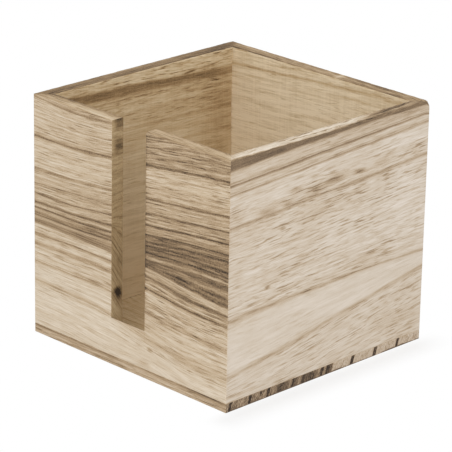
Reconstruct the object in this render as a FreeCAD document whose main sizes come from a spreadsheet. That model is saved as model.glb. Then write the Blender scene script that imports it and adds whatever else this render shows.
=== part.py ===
import FreeCAD, Part
import math
import os
import Sketcher

# An open-top napkin box: four mitred wall boards stand on a base board of the same outline,
# and the front wall has an open-topped finger slot. Millimetres, +Z up, front wall on the -Y
# side, origin at the middle of the underside.

doc = FreeCAD.newDocument("napkin_box")

# Driving sizes. Every other size below is worked out from these cells.
sizes = {
    "side": 145.0,             # outside of the box in plan, both ways
    "height": 133.0,           # table to rim
    "wall": 8.0,               # thickness of the wall boards
    "base": 5.0,               # thickness of the base board
    "slot_width": 25.0,
    "sill_outside": 26.0,      # foot of the slot above the table, on the outer face
    "sill_inside": 17.0,       # and on the inner face, where the cutter ran out lower
    "cutter_radius": 100.0,
    "rim_round": 0.6,          # sanded edges of the rim
    "brad_thick": 1.2,
    "brad_length": 18.0,       # head to point
    "brad_point": 2.0,
    "brad_head_width": 2.2,
    "brad_head_thick": 0.6,
    "brad_sunk": 0.6,          # the heads lie this far inside the underside
    "brad_spacing": 90.0,      # between the two brads of a wall
}
sheet = doc.addObject("Spreadsheet::Sheet", "Sizes")
for row, (alias, value) in enumerate(sizes.items(), start=1):
    sheet.set(f"A{row}", alias.replace("_", " "))
    sheet.set(f"B{row}", str(value))
    sheet.setAlias(f"B{row}", alias)
doc.recompute()

reach = "Sizes.side / 2"                                  # centre of the box to an outer face
brad_row = "Sizes.side / 2 - Sizes.wall / 2"              # centre to the middle of a wall board
wall_turns = {"front_panel": 0, "right_panel": 90, "back_panel": 180, "left_panel": 270}
up = FreeCAD.Vector(0, 0, 1)
origin_point = (-1, 1)                                    # a sketch's own origin
y_axis = -2                                               # a sketch's own vertical axis


def origin_feature(body, role):
    """One of the body's own origin planes or axes."""
    return next(item for item in body.Origin.OriginFeatures if item.Role == role)


def add_body(label):
    body = doc.addObject("PartDesign::Body", label)
    body.Label = label
    return body


def add_sketch(body, name, plane="XY_Plane", lift=None):
    """An empty sketch on an origin plane of the body, or lifted off it by a formula."""
    sketch = body.newObject("Sketcher::SketchObject", name)
    sketch.AttachmentSupport = [(origin_feature(body, plane), "")]
    sketch.MapMode = "FlatFace"
    if lift:
        sketch.setExpression("AttachmentOffset.Base.z", lift)
    return sketch


def drawn_size(sketch, kind, where):
    """What a dimension measures on the sketch as it is drawn."""
    if kind in ("Radius", "Diameter"):
        radius = sketch.Geometry[where[0]].Radius
        return radius if kind == "Radius" else 2 * radius
    step = sketch.getPoint(*where[2:]) - sketch.getPoint(*where[:2])
    return step.x if kind == "DistanceX" else step.y


def bind(sketch, name, kind, where, formula):
    """A named dimension of the sketch that follows a formula of the sheet."""
    index = sketch.addConstraint(Sketcher.Constraint(kind, *where, drawn_size(sketch, kind, where)))
    sketch.renameConstraint(index, name)
    sketch.setExpression(f"Constraints.{name}", formula)


def add_line(sketch, start, end):
    line = Part.LineSegment(FreeCAD.Vector(*start, 0), FreeCAD.Vector(*end, 0))
    return sketch.addGeometry(line, False)


def join(sketch, chain):
    """Joins the end of each curve to the start of the next, round a closed outline."""
    for this, following in zip(chain, chain[1:] + chain[:1]):
        sketch.addConstraint(Sketcher.Constraint("Coincident", this, 2, following, 1))


def add_pad(body, sketch, formula):
    pad = body.newObject("PartDesign::Pad", "Board")
    pad.Profile = sketch
    pad.setExpression("Length", formula)
    doc.recompute()
    return pad


def check_cut(body, name, volume_before):
    """A pocket that points away from the board removes nothing and shows no error."""
    doc.recompute()
    if not body.Shape.Volume < volume_before:
        raise RuntimeError(f"{name} cuts nothing from {body.Label}")


def add_pocket(body, sketch, name, formula, symmetric=False):
    """A pocket upwards from its sketch, or to both sides of it."""
    volume_before = body.Shape.Volume
    pocket = body.newObject("PartDesign::Pocket", name)
    pocket.Profile = sketch
    if symmetric:
        pocket.SideType = "Symmetric"
    else:
        pocket.Reversed = True
    pocket.setExpression("Length", formula)
    check_cut(body, name, volume_before)
    return pocket


def add_brad_holes(body, name, width, depth, lift=None):
    """Round holes, as wide as one of the sizes, for the two brads of the wall on the -Y side."""
    sketch = add_sketch(body, name + "Sketch", lift=lift)
    half_spacing = sizes["brad_spacing"] / 2
    row_place = sizes["wall"] / 2 - sizes["side"] / 2
    radius = sizes[width] / 2
    left, right = (
        sketch.addGeometry(Part.Circle(FreeCAD.Vector(x, row_place, 0), up, radius), False)
        for x in (-half_spacing, half_spacing)
    )
    sketch.addConstraint(Sketcher.Constraint("Equal", left, right))
    sketch.addConstraint(Sketcher.Constraint("Symmetric", left, 3, right, 3, y_axis))
    bind(sketch, "Width", "Diameter", (left,), "Sizes." + width)
    bind(sketch, "Spacing", "DistanceX", (left, 3, right, 3), "Sizes.brad_spacing")
    bind(sketch, "Row", "DistanceY", (left, 3, *origin_point), brad_row)
    return add_pocket(body, sketch, name, depth)


def repeat_on_four_sides(body, feature):
    """The same cut under each of the four walls."""
    volume_before = body.Shape.Volume
    pattern = body.newObject("PartDesign::PolarPattern", feature.Name + "Pattern")
    pattern.Originals = [feature]
    pattern.Axis = (origin_feature(body, "Z_Axis"), [""])
    pattern.Angle = 360
    pattern.Occurrences = len(wall_turns)
    body.Tip = pattern
    check_cut(body, pattern.Name, volume_before)


# ---- wall boards

def add_wall(label, turn):
    """A board with mitred ends, drawn on the -Y side and turned to its own side."""
    body = add_body(label)
    half = sizes["side"] / 2
    inner_half = half - sizes["wall"]
    sketch = add_sketch(body, "Plan", lift="Sizes.base")
    corners = [(-half, -half), (half, -half), (inner_half, -inner_half), (-inner_half, -inner_half)]
    outer, mitre_right, inner, mitre_left = (
        add_line(sketch, start, end) for start, end in zip(corners, corners[1:] + corners[:1])
    )
    join(sketch, [outer, mitre_right, inner, mitre_left])
    for face in (outer, inner):
        sketch.addConstraint(Sketcher.Constraint("Symmetric", face, 1, face, 2, y_axis))
    bind(sketch, "Length", "DistanceX", (outer, 1, outer, 2), "Sizes.side")
    bind(sketch, "InnerLength", "DistanceX", (inner, 2, inner, 1), "Sizes.side - 2 * Sizes.wall")
    bind(sketch, "Reach", "DistanceY", (outer, 1, *origin_point), reach)
    bind(sketch, "Thickness", "DistanceY", (outer, 1, inner, 2), "Sizes.wall")
    add_pad(body, sketch, "Sizes.height - Sizes.base")
    add_brad_holes(body, "BradPilot", "brad_thick",
                   "Sizes.brad_sunk + Sizes.brad_length - Sizes.base", lift="Sizes.base")
    body.Placement = FreeCAD.Placement(FreeCAD.Vector(), FreeCAD.Rotation(up, turn))
    return body


def add_finger_slot(body):
    """A slot down from the rim. Its foot is the arc that a round cutter leaves, so it falls
    away towards the inside of the box."""
    outer_y = -sizes["side"] / 2
    inner_y = outer_y + sizes["wall"]
    foot_outside = FreeCAD.Vector(outer_y, sizes["sill_outside"])
    foot_inside = FreeCAD.Vector(inner_y, sizes["sill_inside"])
    top = sizes["height"] + sizes["wall"]
    radius = sizes["cutter_radius"]

    # The cutter's centre lies on the chord's perpendicular, above it and inside the box.
    chord = foot_inside - foot_outside
    inwards = FreeCAD.Vector(-chord.y, chord.x).normalize()
    rise = math.sqrt(radius ** 2 - (chord.Length / 2) ** 2)
    centre = (foot_outside + foot_inside) / 2 + inwards * rise
    start, end = (math.atan2(p.y - centre.y, p.x - centre.x) for p in (foot_outside, foot_inside))

    sketch = add_sketch(body, "SlotProfile", plane="YZ_Plane")
    foot = sketch.addGeometry(Part.ArcOfCircle(Part.Circle(centre, up, radius), start, end), False)
    inside = add_line(sketch, (inner_y, foot_inside.y), (inner_y, top))
    mouth = add_line(sketch, (inner_y, top), (outer_y, top))
    outside = add_line(sketch, (outer_y, top), (outer_y, foot_outside.y))
    join(sketch, [foot, inside, mouth, outside])
    sketch.addConstraint(Sketcher.Constraint("Vertical", inside))
    sketch.addConstraint(Sketcher.Constraint("Vertical", outside))
    sketch.addConstraint(Sketcher.Constraint("Horizontal", mouth))
    bind(sketch, "CutterRadius", "Radius", (foot,), "Sizes.cutter_radius")
    bind(sketch, "OuterFace", "DistanceX", (outside, 2, *origin_point), reach)
    bind(sketch, "Wall", "DistanceX", (mouth, 2, mouth, 1), "Sizes.wall")
    bind(sketch, "SillOutside", "DistanceY", (*origin_point, outside, 2), "Sizes.sill_outside")
    bind(sketch, "SillInside", "DistanceY", (*origin_point, inside, 1), "Sizes.sill_inside")
    bind(sketch, "Mouth", "DistanceY", (*origin_point, mouth, 1), "Sizes.height + Sizes.wall")
    add_pocket(body, sketch, "FingerSlot", "Sizes.slot_width", symmetric=True)


def round_rim(body):
    """Rounds the long edges of the board's top, in the body's own frame."""
    last = body.Tip
    rim = sizes["height"]
    edge_names = []
    for number, edge in enumerate(last.Shape.Edges, start=1):
        box = edge.BoundBox
        at_rim = abs(box.ZMin - rim) < 1e-6 and abs(box.ZMax - rim) < 1e-6
        if at_rim and box.YLength < 1e-6:
            edge_names.append(f"Edge{number}")
    volume_before = body.Shape.Volume
    fillet = body.newObject("PartDesign::Fillet", "RimRound")
    fillet.Base = (last, edge_names)
    fillet.setExpression("Radius", "Sizes.rim_round")
    check_cut(body, "RimRound", volume_before)


# ---- base board

def add_base():
    """The bottom board, with a sunk hole for each brad's head."""
    body = add_body("base_board")
    half = sizes["side"] / 2
    sketch = add_sketch(body, "Plan")
    corners = [(-half, -half), (half, -half), (half, half), (-half, half)]
    front, right, back, left = (
        add_line(sketch, start, end) for start, end in zip(corners, corners[1:] + corners[:1])
    )
    join(sketch, [front, right, back, left])
    for edge in (front, back):
        sketch.addConstraint(Sketcher.Constraint("Horizontal", edge))
    for edge in (left, right):
        sketch.addConstraint(Sketcher.Constraint("Vertical", edge))
    bind(sketch, "Width", "DistanceX", (front, 1, front, 2), "Sizes.side")
    bind(sketch, "Depth", "DistanceY", (right, 1, right, 2), "Sizes.side")
    bind(sketch, "ReachX", "DistanceX", (front, 1, *origin_point), reach)
    bind(sketch, "ReachY", "DistanceY", (front, 1, *origin_point), reach)
    add_pad(body, sketch, "Sizes.base")
    shank_hole = add_brad_holes(body, "ShankHole", "brad_thick", "Sizes.base")
    repeat_on_four_sides(body, shank_hole)
    head_hole = add_brad_holes(body, "HeadHole", "brad_head_width",
                               "Sizes.brad_sunk + Sizes.brad_head_thick")
    repeat_on_four_sides(body, head_hole)
    return body


# ---- brads

def add_primitive(kind, name, lift, bindings):
    piece = doc.addObject(kind, name)
    for prop, formula in bindings.items():
        piece.setExpression(prop, formula)
    piece.setExpression("Placement.Base.z", lift)
    return piece


def add_brad(name, turn, side_sign):
    """A headed brad, head down, driven up through the base into the middle of a wall."""
    shank_radius = "Sizes.brad_thick / 2"
    shank_top = "Sizes.brad_length - Sizes.brad_point"
    head = add_primitive("Part::Cylinder", name + "_head", "0",
                         {"Radius": "Sizes.brad_head_width / 2", "Height": "Sizes.brad_head_thick"})
    shank = add_primitive("Part::Cylinder", name + "_shank", "0",
                          {"Radius": shank_radius, "Height": shank_top})
    point = add_primitive("Part::Cone", name + "_point", shank_top,
                          {"Radius1": shank_radius, "Radius2": "0", "Height": "Sizes.brad_point"})
    brad = doc.addObject("Part::MultiFuse", name)
    brad.Shapes = [head, shank, point]
    along, across = f"{side_sign} * Sizes.brad_spacing / 2", f"({brad_row})"
    brad.setExpression("Placement.Base.x", f"cos({turn} deg) * {along} + sin({turn} deg) * {across}")
    brad.setExpression("Placement.Base.y", f"sin({turn} deg) * {along} - cos({turn} deg) * {across}")
    brad.setExpression("Placement.Base.z", "Sizes.brad_sunk")
    return brad


def add_brads():
    brads = doc.addObject("Part::Compound", "base_brads")
    brads.Label = "base_brads"
    brads.Links = [
        add_brad(f"brad_{panel}_{end}", turn, side_sign)
        for panel, turn in wall_turns.items()
        for end, side_sign in (("a", -1), ("b", 1))
    ]
    return brads


# ---- the whole box

walls = [add_wall(label, turn) for label, turn in wall_turns.items()]
add_finger_slot(walls[0])
for wall in walls:
    round_rim(wall)
parts = walls + [add_base(), add_brads()]
doc.recompute()

for item in doc.Objects:
    if "Invalid" in item.State or "Error" in item.State:
        raise RuntimeError(f"{item.Label} failed: {item.State}")
for part in parts:
    if part.Shape.isNull() or not part.Shape.isValid():
        raise RuntimeError(f"{part.Label} has no valid shape")

os.makedirs("parts", exist_ok=True)
for part in parts:
    part.Shape.exportStep(os.path.join("parts", part.Label + ".step"))
    box = part.Shape.BoundBox
    print(f"{part.Label}: {len(part.Shape.Solids)} solid(s), {part.Shape.Volume / 1000:.2f} cm3, "
          f"x {box.XMin:.2f}..{box.XMax:.2f} y {box.YMin:.2f}..{box.YMax:.2f} "
          f"z {box.ZMin:.2f}..{box.ZMax:.2f}")
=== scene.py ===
import math

import bmesh
import bpy
import numpy as np
from mathutils import Matrix, Vector


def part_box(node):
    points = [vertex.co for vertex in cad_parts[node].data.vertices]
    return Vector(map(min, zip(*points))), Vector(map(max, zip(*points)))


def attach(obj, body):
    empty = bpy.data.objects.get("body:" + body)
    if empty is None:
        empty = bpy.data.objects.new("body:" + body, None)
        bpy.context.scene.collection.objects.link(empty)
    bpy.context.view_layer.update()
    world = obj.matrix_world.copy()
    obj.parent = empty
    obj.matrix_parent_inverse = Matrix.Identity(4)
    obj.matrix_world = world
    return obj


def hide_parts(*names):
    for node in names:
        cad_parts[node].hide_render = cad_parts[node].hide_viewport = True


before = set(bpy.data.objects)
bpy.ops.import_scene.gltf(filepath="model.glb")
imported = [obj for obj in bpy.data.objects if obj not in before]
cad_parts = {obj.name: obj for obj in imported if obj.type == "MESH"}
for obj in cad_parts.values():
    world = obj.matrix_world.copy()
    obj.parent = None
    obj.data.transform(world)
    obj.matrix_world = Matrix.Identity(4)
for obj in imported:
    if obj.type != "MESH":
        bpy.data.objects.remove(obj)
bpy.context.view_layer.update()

# A napkin box of brushed and lightly torched wood. Each board is shaped in its own millimetres:
# u runs along the board, v down from the rim and w inwards from the outer face. Its "grain"
# attribute holds the way along the fibres, the place across the growth rings and the depth.

mm = 0.001
wallLow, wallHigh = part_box("front_panel")
side = (wallHigh.x - wallLow.x) / mm
wallThick = (wallHigh.y - wallLow.y) / mm
boardHeight = (wallHigh.z - wallLow.z) / mm
boxHeight = wallHigh.z / mm
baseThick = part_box("base_board")[1].z / mm


# short ways to add and wire shader nodes

def fromSrgb(red, green, blue):
    parts = []
    for level in (red / 255, green / 255, blue / 255):
        parts.append(level / 12.92 if level <= 0.04045 else ((level + 0.055) / 1.055) ** 2.4)
    return (*parts, 1)


class Wire:
    # a value on its way through a shader tree; each sum done with it adds a math node
    def __init__(self, socket):
        self.socket = socket
        self.tree = socket.id_data

    def __add__(self, other):
        return calc("ADD", self, other)

    def __sub__(self, other):
        return calc("SUBTRACT", self, other)

    def __rsub__(self, other):
        return calc("SUBTRACT", other, self)

    def __mul__(self, other):
        return calc("MULTIPLY", self, other)

    def __truediv__(self, other):
        return calc("DIVIDE", self, other)


def feed(socket, value):
    if isinstance(value, Wire):
        value.tree.links.new(value.socket, socket)
    else:
        socket.default_value = value


def addNode(tree, kind, inputs=None, **settings):
    node = tree.nodes.new(kind)
    node.location = (180 * (len(tree.nodes) % 12), -220 * (len(tree.nodes) // 12))
    for name, value in settings.items():
        setattr(node, name, value)
    for name, value in (inputs or {}).items():
        feed(node.inputs[name], value)
    return node


def fromNode(tree, kind, output=0, inputs=None, **settings):
    return Wire(addNode(tree, kind, inputs, **settings).outputs[output])


def through(kind, inputs, output=0, **settings):
    # adds a node to the tree of its first wire and gives one of its outputs
    tree = next(value.tree for value in inputs.values() if isinstance(value, Wire))
    return fromNode(tree, kind, output, inputs, **settings)


def calc(operation, *values):
    return through("ShaderNodeMath", dict(enumerate(values)), operation=operation)


def remap(value, low, high, toLow=0, toHigh=1, kind="SMOOTHSTEP"):
    return through("ShaderNodeMapRange", {"Value": value, "From Min": low, "From Max": high,
                                          "To Min": toLow, "To Max": toHigh}, interpolation_type=kind)


def blend(share, first, second):
    return through("ShaderNodeMix", {0: share, 2: first, 3: second}, data_type="FLOAT")


def place(x, y, z):
    return through("ShaderNodeCombineXYZ", {"X": x, "Y": y, "Z": z})


def partsOf(vector):
    node = addNode(vector.tree, "ShaderNodeSeparateXYZ", {"Vector": vector})
    return [Wire(socket) for socket in node.outputs]


def noiseOf(vector, detail=2, roughness=0.5, scale=1):
    return through("ShaderNodeTexNoise", {"Vector": vector, "Scale": scale, "Detail": detail,
                                          "Roughness": roughness}, "Fac")


def signed(noise):
    # the middle of a noise, drawn out to between -1 and 1
    return remap(noise, 0.3, 0.7, -1, 1, "LINEAR")


def sharedGroup(name, inputs, outputs):
    # makes a node group from a function that takes the inputs and gives the outputs
    def make(build):
        group = bpy.data.node_groups.new(name, "ShaderNodeTree")
        for label, value in inputs.items():
            kind = "NodeSocketVector" if value is None else "NodeSocketFloat"
            socket = group.interface.new_socket(name=label, in_out="INPUT", socket_type=kind)
            if value is not None:
                socket.default_value = value
        for label in outputs:
            kind = "NodeSocketColor" if label == "Color" else "NodeSocketFloat"
            group.interface.new_socket(name=label, in_out="OUTPUT", socket_type=kind)
        given = group.nodes.new("NodeGroupInput").outputs
        result = group.nodes.new("NodeGroupOutput").inputs
        for label, value in zip(outputs, build(*(Wire(given[name]) for name in inputs))):
            feed(result[label], value)
        return group
    return make


def useGroup(group, inputs):
    node = through("ShaderNodeGroup", inputs, node_tree=group).socket.node
    return [Wire(socket) for socket in node.outputs]


def emptyTree(holder):
    holder.use_nodes = True
    holder.node_tree.nodes.clear()
    return holder.node_tree


def addObject(name, data):
    thing = bpy.data.objects.new(name, data)
    bpy.context.scene.collection.objects.link(thing)
    return thing


# the effects that all the wood shares

woodColours = {  # from the palest ground to char
    0.00: (233, 222, 209), 0.20: (213, 199, 180), 0.36: (199, 180, 155), 0.52: (177, 154, 126),
    0.66: (151, 128, 100), 0.80: (124, 103, 80), 0.90: (101, 84, 66), 1.00: (58, 47, 38),
}


@sharedGroup("wood tone", {"Darkness": 0.3, "Warmth": 0, "Olive": 0}, ["Color"])
def woodTone(darkness, warmth, olive):
    ramp = addNode(darkness.tree, "ShaderNodeValToRGB", {"Fac": darkness})
    stops = ramp.color_ramp.elements
    while len(stops) < len(woodColours):
        stops.new(0.5)
    for stop, (level, tone) in zip(stops, sorted(woodColours.items())):
        stop.position = level
        stop.color = fromSrgb(*tone)
    tint = place(1, warmth * -0.05 + (olive * 0.05 + 1), warmth * -0.18 + 1)
    return [through("ShaderNodeVectorMath", {0: Wire(ramp.outputs["Color"]), 1: tint}, operation="MULTIPLY")]


@sharedGroup("ring wobble", {"Grain": None, "Amount": 0.4, "Length": 14, "Seed": 0},
             ["Along", "Ring", "Depth"])
def ringWobble(grain, amount, length, seed):
    # lets the growth rings wander a little across the board
    along, across, depth = partsOf(grain)
    wander = noiseOf(place(along / length, across * 0.22 + seed, 0), 3) - 0.5
    return along, wander * amount + across, depth


@sharedGroup("brushed grain",
             {"Along": 0, "Ring": 0, "Depth": 0, "Dash Length": 12, "Dash Spacing": 0.8,
              "Dash Cover": 0.5, "Patchiness": 0.6, "Ripple": 0.8, "Seed": 0},
             ["Dashes", "Waves", "Strands", "Fibres", "Blotches", "Grit", "Height"])
def brushedGrain(along, ring, depth, length, spacing, cover, patchiness, ripple, seed):
    # fine fibres and the short dark dashes left by the wire brush
    sway = noiseOf(place(along / (length * 0.6), ring * 0.3, seed + 51.3), 1)
    swayed = (sway - 0.5) * ripple + ring

    def layer(lengths, spacings, shift, detail=2):
        return noiseOf(place(along / (length * lengths), swayed / (spacing * spacings),
                             depth / spacing + (seed + shift)), detail)

    threshold = remap(cover, 0, 1, 0.66, 0.36, "LINEAR")
    dashes = remap(layer(1, 1, 3.1), threshold, threshold + 0.16)
    patches = remap(layer(2.6, 8, 41.7, 1), 0.36, 0.64, -0.7, 0.6, "LINEAR")
    dashes = dashes * (patches * patchiness + 1)
    contour = calc("ABSOLUTE", layer(1.7, 1.8, 63.1, 1) - 0.5)
    thinWaves = remap(contour, 0, 0.07, 1, 0)
    strands = signed(layer(7, 1.4, 23.9))
    fibres = signed(layer(0.5, 0.6, 11.7))
    blotches = signed(layer(2, 3.2, 77.3))
    grit = signed(noiseOf(place(along * 1.1, ring * 1.9, depth * 1.5)))
    return dashes, thinWaves, strands, fibres, blotches, grit, fibres * 0.2 + dashes * -0.5


@sharedGroup("edge strip", {"Along": 0, "Away": 0, "Width": 0.8, "Ripple": 6, "Seed": 0}, ["Mask"])
def edgeStrip(along, away, width, ripple, seed):
    # a ragged strip beside an edge, 1 inside the strip
    ragged = noiseOf(place(along / ripple, seed, 0), 3)
    reach = width * remap(ragged, 0.3, 0.7, 0.2, 1.7, "LINEAR")
    return [remap(away, reach, reach * 0.6)]


@sharedGroup("knot", {"Along": 0, "Down": 0, "Middle Along": 0, "Middle Down": 0,
                      "Half Length": 1, "Half Height": 1, "Softness": 0.6, "Lean": 0}, ["Mask"])
def knotMask(along, down, middleAlong, middleDown, halfLength, halfHeight, softness, lean):
    # a small oval knot with a soft rim, 1 at its heart
    drop = down - middleDown
    run = drop * lean + (along - middleAlong)
    ragged = noiseOf(place(along, down, 0), 3, scale=0.9) - 0.5
    spread = calc("SQRT", calc("POWER", run / halfLength, 2) + calc("POWER", drop / halfHeight, 2))
    heart = 1 - softness
    return [remap(spread + ragged * 0.9, heart + softness * 2, heart)]


@sharedGroup("planer marks", {"Along": 0, "Across": 0, "Pitch": 1.3}, ["Lines"])
def planerMarks(along, across, pitch):
    # the faint cross lines of a planing machine
    return [signed(noiseOf(place(along / pitch, across / 34, 5), 1))]


@sharedGroup("end pores", {"Place": None, "Size": 0.45}, ["Pores"])
def endPores(spot, size):
    # open vessel ends of a cut across the grain
    dots = through("ShaderNodeTexVoronoi", {"Vector": spot, "Scale": calc("DIVIDE", 0.5, size)}, "Distance")
    return [remap(dots, 0.42, 0.18)]


print("shared shader groups made")


def toneStops(levels, lines=()):
    # levels by ring place with narrow dark lines laid on them, or one level for all rings
    if not isinstance(levels, dict):
        return levels / 100
    stops = {ring: level / 100 for ring, level in sorted(levels.items())}
    places, grounds = list(stops), list(stops.values())
    for half, strength, *middles in lines:
        for middle in middles:
            for reach, share in ((-2, 0), (-1, 0.45), (0, 1), (1, 0.45), (2, 0)):
                spot = round(middle + reach * half, 2)
                level = float(np.interp(spot, places, grounds)) + share * strength / 100
                stops[spot] = max(stops.get(spot, 0), level) if share else stops.get(spot, level)
    return sorted(stops.items())


def barTones(ground, bars, dark, soften):
    # the ground's levels with flat dark bars (start, end) laid on it
    places, levels = zip(*ground.items())
    tones = dict(ground)
    for start, end in bars:
        tones[start - soften] = float(np.interp(start, places, levels))
        tones[start + soften] = tones[end - soften] = dark
        tones[end + soften] = float(np.interp(end, places, levels))
    return tones


def toneCurve(ring, stops, span=36):
    # darkness by ring place; several curve nodes side by side keep narrow lines sharp
    places, levels = zip(*stops)
    length = places[-1] - places[0]
    count = math.ceil(length / span)
    ends = [places[0] + length * step / count for step in range(count + 1)]
    result = None
    for low, high in zip(ends, ends[1:]):
        node = addNode(ring.tree, "ShaderNodeFloatCurve", {"Value": remap(ring, low, high, kind="LINEAR")})
        points = node.mapping.curves[0].points
        points[0].location = (0, float(np.interp(low, places, levels)))
        points[1].location = (1, float(np.interp(high, places, levels)))
        for spot, level in stops:
            if low < spot < high:
                points.new((spot - low) / (high - low), level)
        for point in points:
            point.handle_type = "VECTOR"
        node.mapping.update()
        value = Wire(node.outputs[0])
        result = value if result is None else blend(calc("GREATER_THAN", ring, low), result, value)
    return result


woodBasics = {  # what a look has unless it says otherwise
    "seed": 0, "warmth": 0, "olive": 0, "bump": 0.5, "wobble": (0.9, 16), "brushing": 50, "combing": 5,
    "dashes": (12, 0.8, 0.5), "texture": (0.5, 0.2, 0.2), "ripple": 0.8, "patchiness": 0.6, "tatter": 0.7,
    "blotches": 0.03, "grit": 0.04, "knots": (), "knotsAlong": "X", "edgeStrips": (), "lines": (),
    "freshness": (-1.1, 1.25), "gritByTone": (2.6, -0.1), "stainAndShadeFibres": (0.1, 0.3), "stainAndShadeGaps": 0.35,
    "matt": (0.62, 0.86), "shine": 0.25, "bumpDepth": 0.25 * mm,
}


def woodMaterial(name, ownLook):
    look = {**woodBasics, **ownLook}
    material = bpy.data.materials.new(name)
    tree = emptyTree(material)
    # stains, and painted shade in some inside corners, come in as a mesh attribute
    grain, spot, stainAndShade = (fromNode(tree, "ShaderNodeAttribute", output, attribute_name=label)
                          for label, output in (("grain", "Vector"), ("place", "Vector"), ("stainAndShade", "Fac")))
    spots = dict(zip("XYZ", partsOf(spot)))
    amount, length = look["wobble"]
    along, ring, depth = useGroup(ringWobble, {"Grain": grain, "Amount": amount, "Length": length,
                                               "Seed": look["seed"]})

    def levelsOf(end):
        # darkness, brushing and combing by ring place, or all over where it is one number
        end = {**woodBasics, **end}
        kinds = toneStops(end["tones"], end["lines"]), toneStops(end["brushing"]), toneStops(end["combing"])
        return [toneCurve(ring, level) if isinstance(level, list) else level for level in kinds]

    levels = levelsOf(look)
    if "farEnd" in look:  # the figure changes from one end of the board to the other
        change = remap(along, *look["change"])
        levels = [blend(change, near, far) for near, far in zip(levels, levelsOf(look["farEnd"]))]
    darkness, brushing, combing = levels

    length, spacing, cover = look["dashes"]
    dashes, thinWaves, strands, fibres, blotches, grit, relief = useGroup(brushedGrain, {
        "Along": along, "Ring": ring, "Depth": depth, "Seed": look["seed"], "Dash Length": length,
        "Dash Spacing": spacing, "Dash Cover": cover, "Ripple": look["ripple"],
        "Patchiness": look["patchiness"]})
    tatter, (least, more) = look["tatter"], look["stainAndShadeFibres"]
    ragged = fibres * (least + more * tatter) + (dashes * tatter + (1 - look["stainAndShadeGaps"] * tatter))
    darkness = stainAndShade * ragged + darkness
    dashDepth, waveDepth, fibreDepth = look["texture"]
    slope, start = look["freshness"]
    texture = dashes * ((darkness * slope + start) * dashDepth)
    texture = fibres * fibreDepth + (thinWaves * waveDepth + texture)
    darkness = strands * combing + (texture * brushing + darkness)
    darkness = blotches * look["blotches"] + darkness
    slope, start = look["gritByTone"]
    darkness = grit * (darkness * slope + start) * look["grit"] + darkness

    if "planer" in look:
        strength, pitch = look["planer"]
        lines, = useGroup(planerMarks, {"Along": spots["X"], "Across": spots["Y"], "Pitch": pitch})
        darkness = lines * (strength / 100) + darkness
    if "pores" in look:
        strength, size = look["pores"]
        dots, = useGroup(endPores, {"Place": spot, "Size": size})
        darkness = dots * (strength / 100) + darkness
    for *knot, strength in look["knots"]:
        names = ("Middle Along", "Middle Down", "Half Length", "Half Height", "Softness", "Lean")
        mask, = useGroup(knotMask, {"Along": spots[look["knotsAlong"]], "Down": spots["Y"],
                                    **dict(zip(names, knot))})
        darkness = mask * (strength / 100) + darkness
    for axis, edge, way, width, ripple, level in look["edgeStrips"]:
        mask, = useGroup(edgeStrip, {"Along": spots["Y"], "Away": (spots[axis] - edge) * way,
                                    "Width": width, "Ripple": ripple, "Seed": edge + width})
        darkness = blend(mask, darkness, level / 100)

    tone, = useGroup(woodTone, {"Darkness": darkness, "Warmth": look["warmth"], "Olive": look["olive"]})
    bump = through("ShaderNodeBump", {"Height": darkness * -0.5 + relief, "Strength": look["bump"],
                                      "Distance": look["bumpDepth"]})
    surface = through("ShaderNodeBsdfPrincipled", {
        "Base Color": tone, "Roughness": remap(darkness, 0.1, 0.9, *look["matt"], "LINEAR"),
        "Normal": bump, "Specular IOR Level": look["shine"]})
    addNode(tree, "ShaderNodeOutputMaterial", {"Surface": surface})
    return material


# how a board's mesh is made

def stations(marks, step, ease=(0.15, 0.4, 0.8)):
    # even steps between the marks, with closer ones beside each mark, so that its edge can be eased
    places = []
    for start, end in zip(marks, marks[1:]):
        count = max(2, round((end - start - 2 * ease[-1]) / step))
        even = np.linspace(start + ease[-1], end - ease[-1], count + 1)
        places += [start, *(start + gap for gap in ease[:-1]), *even,
                   *(end - gap for gap in reversed(ease[:-1]))]
    return np.array([*places, marks[-1]])


def blockFaces(solid):
    # every cell side with no cell beside it: the three indices of each point used, the four points
    # of each side, and the axis and the way it looks
    padded = np.pad(solid, 1)
    corners, looks = [], []
    for axis in range(3):
        first, second = np.eye(3, dtype=int)[[(axis + 1) % 3, (axis + 2) % 3]]
        for way in (-1, 1):
            beside = np.roll(padded, -way, axis)[1:-1, 1:-1, 1:-1]
            cells = np.argwhere(solid & ~beside)
            cells[:, axis] += way > 0
            ring = [cells, cells + first, cells + first + second, cells + second]
            corners.append(np.stack(ring if way > 0 else ring[::-1], 1))
            looks.append(np.tile((axis, way), (len(cells), 1)))
    shape = [count + 1 for count in solid.shape]
    flat = np.ravel_multi_index(np.concatenate(corners).reshape(-1, 3).T, shape)
    used, quads = np.unique(flat, return_inverse=True)
    return np.unravel_index(used, shape), quads.reshape(-1, 4), *np.concatenate(looks).T


def curveThrough(knots, levels, at):
    # a smooth curve through a few given places
    knots, levels = np.asarray(knots, float), np.asarray(levels, float)
    slopes = np.gradient(levels, knots)
    step = np.clip(np.searchsorted(knots, at) - 1, 0, len(knots) - 2)
    gap = knots[step + 1] - knots[step]
    t = np.clip((at - knots[step]) / gap, 0, 1)
    return ((1 + 2 * t) * (1 - t) ** 2 * levels[step] + t * (1 - t) ** 2 * gap * slopes[step]
            + t * t * (3 - 2 * t) * levels[step + 1] + t * t * (t - 1) * gap * slopes[step + 1])


def ringPlace(look, u, v):
    # where a point lies across the rings, from lines that follow the figure along the board
    names = np.array([ring for ring, *_ in look["figure"]], float)
    heights = np.array([curveThrough(look["figureAt"], line, u) for _, *line in look["figure"]])
    step = np.clip((heights <= v).sum(0) - 1, 0, len(names) - 2)
    index = np.arange(len(u))
    low, high = heights[step, index], heights[step + 1, index]
    return names[step] + (v - low) / (high - low) * (names[step + 1] - names[step])


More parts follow.
